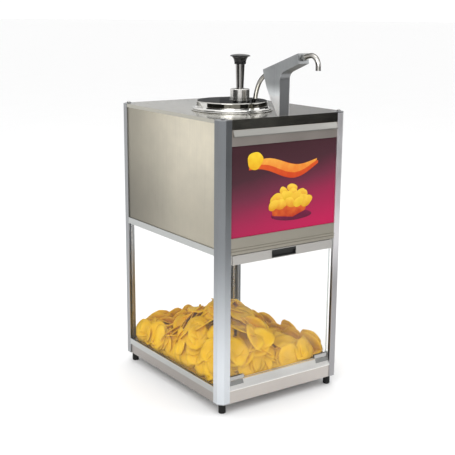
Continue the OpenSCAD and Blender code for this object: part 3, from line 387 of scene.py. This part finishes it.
# Painted reflections on the lid's flat top, the side of its drum, the drum's left end and its rim: the
# drum's side painted dark, a painted highlight on its left end, a painted bright line along the rim, and a
# pale top whose glancing reflection is painted dark
TOP_DEPTH, DRUM_DEPTH, RIM_DEPTH = 0.0006, 0.0115, 0.0022
END_OFFSET = 0.0800
LID_TOP = [(2, "GREATER_THAN", lid_hi.z - TOP_DEPTH)]
LID_SIDE = [(2, "GREATER_THAN", lid_hi.z - DRUM_DEPTH)]
LID_END = LID_SIDE + [(0, "LESS_THAN", (lid_lo.x + lid_hi.x) / 2 - END_OFFSET)]
LID_RIM = [(2, "GREATER_THAN", lid_hi.z - RIM_DEPTH)]
LID_PAINTED_REFLECTIONS = [
    ((0.17, 0.16, 0.135), LID_SIDE),
    ((0.72, 0.71, 0.68), LID_END),
    ((0.50, 0.49, 0.46), LID_RIM),
    ((0.66, 0.65, 0.62), LID_TOP),
]
MATERIALS = {
    "post": metal("post_aluminium_look", (0.33, 0.34, 0.35), 0.34, "z", 0.10),
    # The front posts are copies of the post aluminium with painted light and shade: the front-left post
    # darker and much lighter towards the bottom, the front-right post much lighter and darker lower down
    "post_near": metal("post_near_painted_light_look", (0.20, 0.21, 0.22), 0.34, "z", 0.10, painted_light_fades=NEAR_POST_PAINTED_LIGHT),
    "post_right": metal("post_right_painted_light_look", (0.92, 0.90, 0.92), 0.34, "z", 0.10, painted_light_fades=RIGHT_POST_PAINTED_SHADE),
    "rail": metal("rail_aluminium_look", (0.46, 0.47, 0.46), 0.34, "y", 0.10),
    "rail_x": metal("rail_aluminium_x_look", (0.93, 0.92, 0.89), 0.36, "x", 0.10),
    "door_rail": metal("door_rail_look", (0.50, 0.485, 0.46), 0.38, "x", 0.10),
    "sign_rail": metal("sign_rail_look", (0.38, 0.355, 0.30), 0.42, "x", 0.12),
    "hood_rail": metal(
        "hood_rail_look", (0.42, 0.38, 0.35), 0.40, "x", 0.12, patch=((0.34, 0.335, 0.315), HOOD_FRONT_PAINTED_SHADE)
    ),
    "panel": metal(
        "panel_steel_look", (0.71, 0.66, 0.54), 0.38, "z", 0.26, spread=0.17, smudge=0.08, painted_light_fades=PANEL_PAINTED_SHADE
    ),
    "cover": metal("cover_steel_look", (0.46, 0.445, 0.39), 0.16, "y", 0.10, painted_light_fades=COVER_PAINTED_SHADE),
    "pan": metal(
        "pan_steel_look", (0.37, 0.345, 0.325), 0.40, "x", 0.14, patch=((0.55, 0.515, 0.485), PAN_FRONT_PAINTED_LIGHT)
    ),
    "stainless": metal("stainless_look", (0.62, 0.61, 0.585), 0.26, "x", 0.10),
    "arm": metal("arm_steel_look", (0.30, 0.31, 0.315), 0.34, "z", 0.22, spread=0.26, painted_light_fades=ARM_PAINTED_LIGHT),
    "arm_front": metal("arm_front_look", (0.225, 0.23, 0.235), 0.40, "z", 0.22),
    "plated": metal("plated_steel_look", (0.42, 0.42, 0.41), 0.30, None, 0.10),
    "heater": metal("heater_band_look", (0.30, 0.24, 0.17), 0.48, None, 0.20),
    "polished": polished("polished_steel_look", (0.69, 0.68, 0.65)),
    "lid": polished("lid_steel_look", (0.78, 0.77, 0.74), patches=LID_PAINTED_REFLECTIONS, painted_dark_glance=LID_TOP),
    "collar": metal("collar_steel_look", (0.60, 0.585, 0.56), 0.22, "ring", 0.30, spread=0.22),
    # The tubes' rim colour is a painted dark reflection: their sides turn near black where they turn away
    # from the view
    "tube": polished("tube_steel_look", (0.80, 0.78, 0.74), rim=(0.060, 0.054, 0.046)),
    "shaft": polished("shaft_steel_look", (0.36, 0.35, 0.34), 0.12),
    "rubber": plastic("black_rubber_look", (0.012, 0.012, 0.012), 0.62, 900, 0.4, specular=0.2),
    "black": plastic("black_plastic_look", (0.012, 0.012, 0.012), 0.40, 1600, 0.3, specular=0.3),
    "knob": plastic("knob_black_look", (0.009, 0.009, 0.009), 0.26, 2400, 0.05, 0.06, specular=0.3),
    "white": plastic("white_plastic_look", (0.74, 0.72, 0.66), 0.45, 900, 0.1),
    "red": plastic("red_plastic_look", (0.42, 0.012, 0.010), 0.25, 1500, 0.05, 0.4),
    "amber": plastic("amber_lens_look", (0.72, 0.16, 0.012), 0.14, 900, 0.03, 0.6),
    "bulb": frosted("lamp_glass_look", (0.93, 0.91, 0.84)),
    "clear_x": clear_sheet("clear_side_look", 0, 0.025),
    "clear_y": clear_sheet("clear_rear_look", 1, 0.025),
    "clear_door": clear_sheet("clear_door_look", 1, 0.035),
    "sign": sign_print("sign_print_look", *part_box("sign_panel")),
}
BY_NODE = {
    "post": ["post_rear_left", "post_rear_right", "post_caps"],
    "post_right": ["post_front_right"],
    "post_near": ["post_front_left"],
    "plated": ["cap_nuts", "tie_rods", "door_catches", "hinge_brackets", "door_shoes", "spout_nut",
               "thermostat_shaft"],
    "rubber": ["feet", "piston_seal"],
    "pan": ["base_pan", "shelf_pan"],
    "rail_x": ["front_ledge", "low_rail_rear", "mid_rail_rear"],
    "rail": ["low_side_rails", "mid_side_rails"],
    "door_rail": ["door_top_rail"],
    "sign_rail": ["sign_bottom_rail"],
    "hood_rail": ["sign_top_rail"],
    "clear_x": ["clear_side_panels"],
    "clear_y": ["clear_panel_rear"],
    "clear_door": ["door_panel"],
    "panel": ["side_panel_left", "side_panel_right", "rear_panel"],
    "cover": ["top_cover"],
    "white": ["lampholder", "piston"],
    "bulb": ["sign_lamp"],
    "stainless": ["well_vessel", "food_jar", "pump_cylinder", "valve_body", "piston_rod", "return_spring"],
    "heater": ["well_heater"],
    "black": ["thermostat_body", "switch_housing", "cord_gland", "door_pull", "thermostat_knob"],
    "amber": ["pilot_light"],
    "polished": ["tube_gland", "inlet_ball", "outlet_ball"],
    "lid": ["pump_lid"],
    "collar": ["lock_collar"],
    "tube": ["discharge_tube", "spout"],
    "shaft": ["plunger_tube"],
    "arm": ["arm_shell"],
    "arm_front": ["arm_front_plate"],
    "knob": ["knob"],
    "red": ["switch_rocker"],
    "sign": ["sign_panel"],
}
for key, names in BY_NODE.items():
    for n in names:
        me = nodes[n].data
        if not me.materials:
            me.materials.append(None)
        for i in range(len(me.materials)):
            me.materials[i] = MATERIALS[key]


# ---------------------------------------------------------------- the sign's art
# The sign's open area lies between the rails above and below it
low_rail_lo, low_rail_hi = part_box("sign_bottom_rail")
sx0, sx1 = low_rail_lo.x, low_rail_hi.x
sz0, sz1 = low_rail_hi.z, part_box("sign_top_rail")[0].z
sw, sh = sx1 - sx0, sz1 - sz0
face_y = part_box("sign_panel")[0].y
# How far each printed layer stands out from the sign
SHADOW_LIFT, BACK_LIFT, HEAP_LIFT, SWASH_LIFT, ROUND_LIFT = 0.0002, 0.0003, 0.0004, 0.0005, 0.0007
HEAP_STEP = 0.00003


def at(u, v):
    """A place on the sign: u across from the left, v down from the top."""
    return sx0 + sw * u, sz1 - sh * v


def flat_piece(name, outline, material, lift, thick=0.0002):
    """A thin printed shape on the sign; its outline is a list of (x, z)."""
    bm = bmesh.new()
    y = face_y - lift
    front = [bm.verts.new((x, y, z)) for x, z in outline]
    back = [bm.verts.new((x, y + thick, z)) for x, z in outline]
    n = len(outline)
    bm.faces.new(front)
    bm.faces.new(list(reversed(back)))
    for i in range(n):
        j = (i + 1) % n
        bm.faces.new((front[i], back[i], back[j], front[j]))
    bmesh.ops.recalc_face_normals(bm, faces=bm.faces)
    ob = mesh_object(name, bm, material)
    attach(ob, "cabinet")


def blob(cx, cz, rx, rz, turn=0.0, n=28, wobble=0.05, seed=0):
    """A round outline with a slightly uneven edge."""
    rnd = random.Random(seed)
    ph = rnd.random() * 6.28
    pts = []
    for i in range(n):
        a = 2 * math.pi * i / n
        k = 1 + wobble * math.sin(3 * a + ph) + wobble * 0.6 * math.sin(5 * a + 2 * ph)
        x, z = rx * k * math.cos(a), rz * k * math.sin(a)
        across = x * math.cos(turn) - z * math.sin(turn)
        rise = x * math.sin(turn) + z * math.cos(turn)
        pts.append((cx + across, cz + rise))
    return pts


def ribbon(x0, x1, zc, amp, waves, w0, w1, phase, n=48):
    """A flowing band that swells in its middle."""
    top, low = [], []
    for i in range(n + 1):
        t = i / n
        x = x0 + (x1 - x0) * t
        z = zc + amp * math.sin(2 * math.pi * waves * t + phase)
        w = w0 + (w1 - w0) * math.sin(math.pi * t)
        top.append((x, z + w / 2))
        low.append((x, z - w / 2))
    return low + top[::-1]


# A flowing band in two tones, with a round chip at its start
x, z = at(0.16, 0.30)
x2, z2 = at(0.82, 0.24)
flat_piece(
    "sign_swash_deep",
    ribbon(x, x2, (z + z2) / 2 - 0.002, 0.011, 1.0, 0.006, 0.034, 0.4),
    print_ink("swash_deep_look", (0.50, 0.045, 0.010), (0.62, 0.10, 0.015), z - 0.03, z + 0.04),
    BACK_LIFT,
)
flat_piece(
    "sign_swash",
    ribbon(x + 0.006, x2 - 0.004, (z + z2) / 2 + 0.004, 0.011, 1.0, 0.004, 0.020, 0.4),
    print_ink("swash_look", (0.66, 0.13, 0.015), (0.74, 0.34, 0.05), z - 0.02, z + 0.03),
    SWASH_LIFT,
)
x, z = at(0.215, 0.175)
flat_piece(
    "sign_round_chip",
    blob(x, z, 0.021, 0.0195, 0.3, seed=4),
    print_ink("round_chip_look", (0.66, 0.34, 0.010), (0.78, 0.56, 0.03), z - 0.02, z + 0.02),
    ROUND_LIFT,
)
# a tray heaped with round chips
tx, tz = at(0.545, 0.735)
flat_piece(
    "sign_tray_shadow",
    blob(tx + 0.006, tz - 0.019, 0.058, 0.0125, -0.05, 32, 0.02, 3),
    print_ink("tray_shadow_look", (0.085, 0.006, 0.026), (0.17, 0.010, 0.050), tz - 0.032, tz - 0.006),
    SHADOW_LIFT,
    0.00008,
)
tray = [
    (tx - 0.052, tz + 0.012),
    (tx - 0.047, tz - 0.016),
    (tx + 0.010, tz - 0.024),
    (tx + 0.046, tz - 0.012),
    (tx + 0.056, tz + 0.020),
    (tx + 0.012, tz + 0.008),
]
flat_piece(
    "sign_tray",
    tray,
    print_ink("tray_look", (0.40, 0.03, 0.008), (0.68, 0.15, 0.02), tz - 0.024, tz + 0.018),
    BACK_LIFT,
)
HEAP_SHAPES = 17
rnd = random.Random(11)
heap = []
for i in range(HEAP_SHAPES):
    cx = tx - 0.045 + 0.094 * ((i * 7) % HEAP_SHAPES) / (HEAP_SHAPES - 1)
    rise = 0.034 * math.sin(math.pi * min(1, max(0, (cx - tx + 0.055) / 0.112)))
    part = (0.05, 0.55, 1.0)[i % 3] + rnd.uniform(-0.12, 0.08)
    heap.append((cx, tz + 0.008 + rise * part, rnd.uniform(0.0105, 0.014), rnd.uniform(-0.7, 0.7)))
heap.sort(key=lambda c: -c[1])
for layer, (cx, cz, r, turn) in enumerate(heap):
    low = (0.58, 0.20 + 0.07 * (layer % 3), 0.010)
    flat_piece(
        f"sign_heap_{layer:02d}",
        blob(cx, cz, r * 1.25, r * 0.85, turn, 20, 0.04, layer),
        print_ink(f"heap_look_{layer:02d}", low, (0.78, 0.52, 0.05), cz - r, cz + r),
        HEAP_LIFT + HEAP_STEP * layer,
        0.00012,
    )


# ---------------------------------------------------------------- chips in the bin
pan_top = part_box("base_pan")[1].z
bin_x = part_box("shelf_pan")[1].x - 0.0018
bin_y0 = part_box("door_shoes")[1].y + 0.001
bin_y1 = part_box("low_rail_rear")[0].y - 0.001
CHIP_THICK = 0.0017
CHIP_SIZES = (0.029, 0.036)
WALL_CHIP_SIZES = (0.028, 0.035)
WALL_GAP = 0.004
FLOOR_GAP = 0.003


def heap_height(px, py):
    """Top of the pile above the pan. It is highest left of the middle and falls to the right."""
    u = (px + bin_x) / (2 * bin_x)
    v = (py - bin_y0) / (bin_y1 - bin_y0)
    h = 0.120 * math.exp(-(((u - 0.37) / 0.27) ** 2) - ((v - 0.38) / 0.30) ** 2)
    h += 0.026 * math.exp(-((u / 0.20) ** 2) - ((v - 0.30) / 0.50) ** 2)
    h += 0.030 * math.exp(-((u / 0.50) ** 2) - (v / 0.16) ** 2)
    h += 0.010 * math.exp(-(((u - 0.74) / 0.12) ** 2) - ((v - 0.35) / 0.25) ** 2)
    h += 0.030 + 0.016 * noise.noise(Vector((px * 14, py * 14, 0.3)))
    return max(0.022, h)


def chip_mesh(bm, centre, normal, size, rnd):
    """One curved chip with an uneven rim, two faces and a thin edge."""
    rings, sides = 3, 18
    fold = rnd.uniform(0.02, 0.11) / size
    twist = rnd.uniform(-0.10, 0.10) / size
    ph = rnd.uniform(0, 6.28)
    oval = rnd.uniform(0.90, 1.0)
    q = normal.to_track_quat("Z", "Y") @ Matrix.Rotation(rnd.uniform(0, 6.28), 3, "Z").to_quaternion()

    def point(r, a, side):
        k = 1 + 0.035 * math.sin(3 * a + ph) + 0.025 * math.sin(7 * a + 2 * ph)
        px, py = r * k * math.cos(a), r * k * math.sin(a) * oval
        pz = fold * (px * px) - 0.3 * fold * py * py + twist * px * py
        pz += 0.0007 * math.sin(px * 420 + ph) * math.sin(py * 390 + ph)
        return centre + q @ Vector((px, py, pz + side * CHIP_THICK / 2))

    both = []
    for side in (1, -1):
        rows = [[bm.verts.new(point(0, 0, side))]]
        for ri in range(1, rings + 1):
            r = size * (ri / rings) ** 0.85
            rows.append([bm.verts.new(point(r, 2 * math.pi * i / sides, side)) for i in range(sides)])
        for i in range(sides):
            j = (i + 1) % sides
            tri = (rows[0][0], rows[1][i], rows[1][j])
            bm.faces.new(tri if side > 0 else tri[::-1])
            for ri in range(1, rings):
                quad = (rows[ri][i], rows[ri + 1][i], rows[ri + 1][j], rows[ri][j])
                bm.faces.new(quad if side > 0 else quad[::-1])
        both.append(rows[-1])
    for i in range(sides):
        j = (i + 1) % sides
        bm.faces.new((both[0][i], both[1][i], both[1][j], both[0][j]))


def reach(size, normal, axis, gap):
    """How far a tilted chip stretches along an axis, with a gap beyond it."""
    return size * math.sqrt(max(0.0, 1 - normal[axis] ** 2)) + gap


def chips(name, count, seed, layer_low, layer_high, material):
    """Chips scattered over the pile and tilted with its slope, at depths from layer_low to layer_high."""
    rnd = random.Random(seed)
    bm = bmesh.new()
    inset, step = 0.020, 0.004
    for _ in range(count):
        size = rnd.uniform(*CHIP_SIZES)
        px = rnd.uniform(-bin_x + inset, bin_x - inset)
        py = rnd.uniform(bin_y0 + inset, bin_y1 - inset)
        top = heap_height(px, py)
        pz = pan_top + top - rnd.uniform(layer_low, layer_high)
        if pz < pan_top + 0.010:
            pz = pan_top + rnd.uniform(0.010, 0.016)
        gx = (heap_height(px + step, py) - heap_height(px - step, py)) / (2 * step)
        gy = (heap_height(px, py + step) - heap_height(px, py - step)) / (2 * step)
        lean = 0.55 if top > 0.05 else 0.25
        nrm = Vector((-gx + rnd.gauss(0, lean), -gy + rnd.gauss(0, lean), 1)).normalized()
        reach_x = reach(size, nrm, 0, WALL_GAP)
        reach_y = reach(size, nrm, 1, WALL_GAP)
        px = min(max(px, -bin_x + reach_x), bin_x - reach_x)
        py = min(max(py, bin_y0 + reach_y), bin_y1 - reach_y)
        pz = max(pz, pan_top + reach(size, nrm, 2, FLOOR_GAP))
        chip_mesh(bm, Vector((px, py, pz)), nrm, size, rnd)
    ob = mesh_object(name, bm, material, smooth=True)
    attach(ob, "cabinet")


def wall_chips(name, seed, material):
    """Chips that lean on the clear walls. Every other one stands on the floor of the bin."""
    rnd = random.Random(seed)
    bm = bmesh.new()
    walls = [
        (Vector((-1, 0, 0)), Vector((0, 1, 0)), -bin_x, bin_y0, bin_y1, 60),
        (Vector((0, -1, 0)), Vector((1, 0, 0)), bin_y0, -bin_x, bin_x, 36),
        (Vector((1, 0, 0)), Vector((0, 1, 0)), bin_x, bin_y0, bin_y1, 34),
        (Vector((0, 1, 0)), Vector((1, 0, 0)), bin_y1, -bin_x, bin_x, 30),
    ]
    for out, along, wall, start, end, count in walls:
        across_axis, along_axis = (0, 1) if out.x else (1, 0)
        for k in range(count):
            size = rnd.uniform(*WALL_CHIP_SIZES)
            nrm = out * rnd.uniform(0.35, 1.0) + along * rnd.uniform(-0.45, 0.45)
            nrm += Vector((0, 0, rnd.uniform(0.15, 0.9)))
            if k % 2 == 0:
                nrm = out + along * rnd.uniform(-0.4, 0.4) + Vector((0, 0, rnd.uniform(0.2, 0.7)))
            nrm.normalize()
            spread = reach(size, nrm, along_axis, WALL_GAP)
            t = rnd.uniform(start + spread, end - spread)
            away = reach(size, nrm, across_axis, WALL_GAP) + rnd.uniform(0.0, 0.008)
            off = wall - (out.x + out.y) * away
            px, py = (off, t) if out.x else (t, off)
            rise = reach(size, nrm, 2, WALL_GAP)
            pz = pan_top + rise
            if k % 2:
                pz = rnd.uniform(pz, max(pz, pan_top + heap_height(px, py) - rise * 0.5))
            chip_mesh(bm, Vector((px, py, pz)), nrm, size, rnd)
    ob = mesh_object(name, bm, material, smooth=True)
    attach(ob, "cabinet")


def pile_core(name, material):
    """The middle of the pile, which the outer chips cover: a raised grid over a flat one."""
    bm = bmesh.new()
    nx, ny = 28, 34
    inset, cover = 0.005, 0.022
    least, rim, low = 0.018, 0.002, 0.0006
    tops, lows = [], []
    for i in range(nx + 1):
        px = -bin_x + inset + (2 * bin_x - 2 * inset) * i / nx
        row_top, row_low = [], []
        for j in range(ny + 1):
            py = bin_y0 + inset + (bin_y1 - bin_y0 - 2 * inset) * j / ny
            edge = min(i, nx - i, j, ny - j)
            top = max(least, heap_height(px, py) - cover) * min(1.0, 0.08 + 0.16 * edge)
            row_top.append(bm.verts.new((px, py, pan_top + max(rim, top))))
            row_low.append(bm.verts.new((px, py, pan_top + low)))
        tops.append(row_top)
        lows.append(row_low)
    for i in range(nx):
        for j in range(ny):
            bm.faces.new((tops[i][j], tops[i + 1][j], tops[i + 1][j + 1], tops[i][j + 1]))
            bm.faces.new((lows[i][j], lows[i][j + 1], lows[i + 1][j + 1], lows[i + 1][j]))
    border = [(i, 0) for i in range(nx)]
    border += [(nx, j) for j in range(ny)]
    border += [(i, ny) for i in range(nx, 0, -1)]
    border += [(0, j) for j in range(ny, 0, -1)]
    for (i, j), (i2, j2) in zip(border, border[1:] + border[:1]):
        bm.faces.new((tops[i][j], lows[i][j], lows[i2][j2], tops[i2][j2]))
    bmesh.ops.recalc_face_normals(bm, faces=bm.faces)
    core = mesh_object(name, bm, material)
    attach(core, "cabinet")


chip_look = chip_material("chip_look", (0.76, 0.43, 0.008))
chips("chips_lower", 120, 5, 0.016, 0.045, chip_look)
chips("chips_upper", 150, 8, 0.000, 0.014, chip_look)
wall_chips("chips_wall", 21, chip_look)
# The core's darker golden colour is painted shade, for the dark gaps between the outer chips
pile_core("chips_core", chip_material("chip_core_painted_shade_look", (0.42, 0.21, 0.010)))


# ---------------------------------------------------------------- floor, world, lights, camera
def soft_matte(name, low, high, rough):
    """Matte paper or paint with faint clouds between two greys."""
    m, nt, b = new_material(name)
    soft = noise_tex(nt, coords(nt), 3.0, 2.0)
    nt.links.new(mix_color(nt, soft, (low,) * 3, (high,) * 3), b.inputs["Base Color"])
    b.inputs["Roughness"].default_value = rough
    return m


FLOOR_RADIUS = 60
bm = bmesh.new()
bmesh.ops.create_circle(bm, cap_ends=True, radius=FLOOR_RADIUS, segments=96)
floor = mesh_object("floor", bm, soft_matte("floor_look", 0.93, 0.95, 0.75))

world = bpy.data.worlds.new("studio")
scene.world = world
world.use_nodes = True
wt = world.node_tree
wt.nodes.clear()
w_out = wt.nodes.new("ShaderNodeOutputWorld")
w_bg = wt.nodes.new("ShaderNodeBackground")
wt.links.new(w_bg.outputs[0], w_out.inputs[0])
w_bg.inputs["Color"].default_value = (*WHITE, 1)
w_bg.inputs["Strength"].default_value = 1.03

# The camera's direction and its place, measured from the middle of the cabinet
CAM_YAW, CAM_PITCH, CAM_ROLL = 34.99, 13.33, 0.44
CAM_LENS = 73.95
CAM_PLACE = (-1.27691, -1.8169, 0.8985)

# Each card's angles from the camera's side (clockwise seen from above), heights and tone
CARD_RADIUS = 2.0
CARDS = [
    (25, 86, 0.03, 1.35, 0.02),
    (-54, -24, 0.03, 1.35, 0.02),
    (-92, -50, 0.03, 0.66, 0.02),
    (-150, -92, 0.03, 1.35, 0.02),
    (100, 178, 0.74, 1.30, 0.50),
    (178, 210, 0.74, 1.30, 0.32),
]


def card(name, side_from, side_to, z0, z1, material):
    """A curved card around the cabinet that only reflections see, between two angles."""
    bm = bmesh.new()
    steps = 16
    rows = []
    for i in range(steps + 1):
        a = math.radians(CAM_YAW + 180 + side_from + (side_to - side_from) * i / steps)
        px, py = CARD_RADIUS * math.sin(a), CARD_RADIUS * math.cos(a)
        rows.append((bm.verts.new((px, py, z0)), bm.verts.new((px, py, z1))))
    for (low, high), (next_low, next_high) in zip(rows, rows[1:]):
        bm.faces.new((low, next_low, next_high, high))
    ob = mesh_object(name, bm, material)
    for ray in ("camera", "diffuse", "shadow", "transmission"):
        setattr(ob, "visible_" + ray, False)


for n, (side_from, side_to, z0, z1, tone) in enumerate(CARDS):
    card(f"card_{n}", side_from, side_to, z0, z1, soft_matte(f"card_look_{n}", tone * 0.9, tone * 1.1, 0.9))


def area(name, loc, target, size, power):
    """A square area light that faces a target."""
    li = bpy.data.lights.new(name, "AREA")
    li.shape = "SQUARE"
    li.size = size
    li.energy = power
    ob = bpy.data.objects.new(name, li)
    scene.collection.objects.link(ob)
    ob.location = loc
    ob.rotation_euler = (Vector(target) - Vector(loc)).to_track_quat("-Z", "Y").to_euler()


area("key", (-2.2, -1.6, 2.6), (0, 0, 0.4), 1.8, 30)
area("fill", (2.4, -2.0, 1.6), (0, 0, 0.4), 1.6, 8)
area("bin", (-2.0, -2.3, 1.5), (0, 0, 0.1), 1.2, 9)
area("top", (0.2, 0.4, 3.0), (0, 0, 0.5), 2.4, 20)

cam_data = bpy.data.cameras.new("camera")
cam = bpy.data.objects.new("camera", cam_data)
scene.collection.objects.link(cam)
scene.camera = cam
cam_data.sensor_width = 36
cam_data.lens = CAM_LENS
cam_data.clip_end = 200
yaw, pitch, roll = (math.radians(v) for v in (CAM_YAW, CAM_PITCH, CAM_ROLL))
fwd = Vector((math.sin(yaw) * math.cos(pitch), math.cos(yaw) * math.cos(pitch), -math.sin(pitch)))
right = Vector((math.cos(yaw), -math.sin(yaw), 0))
up = right.cross(fwd)
rolled_right = math.cos(roll) * right + math.sin(roll) * up
rolled_up = -math.sin(roll) * right + math.cos(roll) * up
rot = Matrix((rolled_right, rolled_up, -fwd)).transposed()
# The cabinet's middle lies this far from the frame's origin, because the spout reaches out in front
cabinet_y = (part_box("post_front_left")[0].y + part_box("post_rear_left")[1].y) / 2
cam.matrix_world = Matrix.Translation(Vector(CAM_PLACE) + Vector((0, cabinet_y, 0))) @ rot.to_4x4()

bpy.context.view_layer.update()
